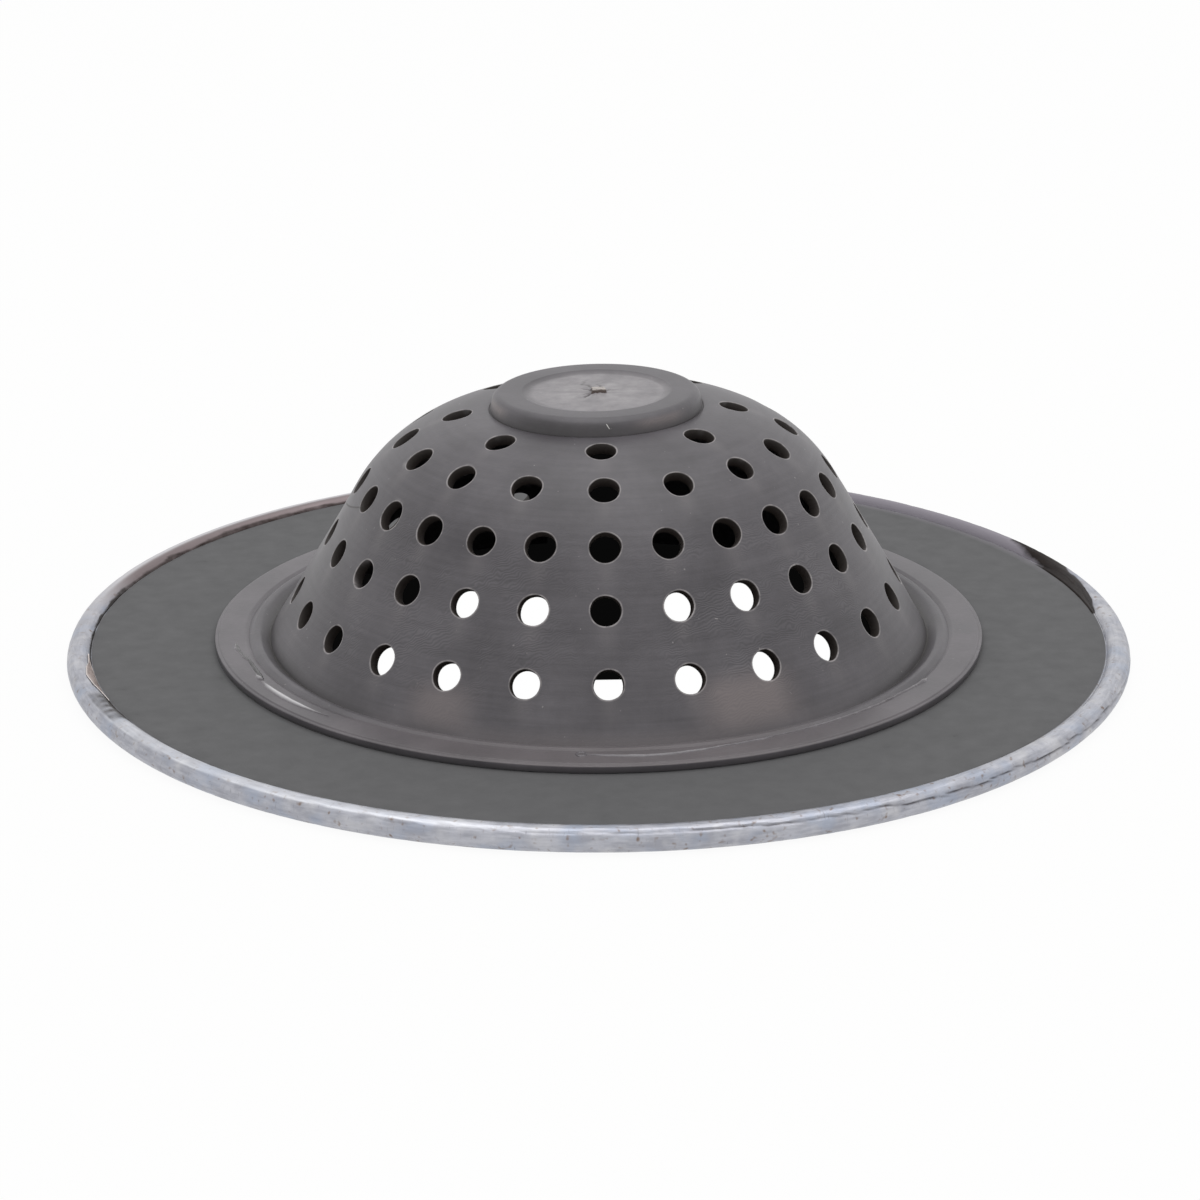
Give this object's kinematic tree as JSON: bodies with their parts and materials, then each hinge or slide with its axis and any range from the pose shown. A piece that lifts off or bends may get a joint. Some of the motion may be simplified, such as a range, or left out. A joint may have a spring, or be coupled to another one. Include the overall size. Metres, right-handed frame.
{
  "type": "sink strainer",
  "caption": "Kitchen sink strainer: perforated plastic basket with a raised centre pad, fixed in a wide steel rim with a rolled edge, lying rim down.",
  "frame": {"origin": "on the surface that the rim's rolled bead stands on, under the centre of the part", "axes": "+Z along the axis of the part, from the rim to the pad of the basket; a drain hole of every row faces -Y"},
  "size_m": [0.1138, 0.1138, 0.0292],
  "materials": {
    "stainless_steel": "polished on the rolled bead, satin on the flat",
    "basket_plastic": "dark grey, satin, as moulded",
    "ring_plastic": "grey, satin, as moulded"
  },
  "bodies": {
    "root": {"steel_rim": "stainless_steel", "strainer_basket": "basket_plastic", "retaining_ring": "ring_plastic"}
  },
  "joints": []
}
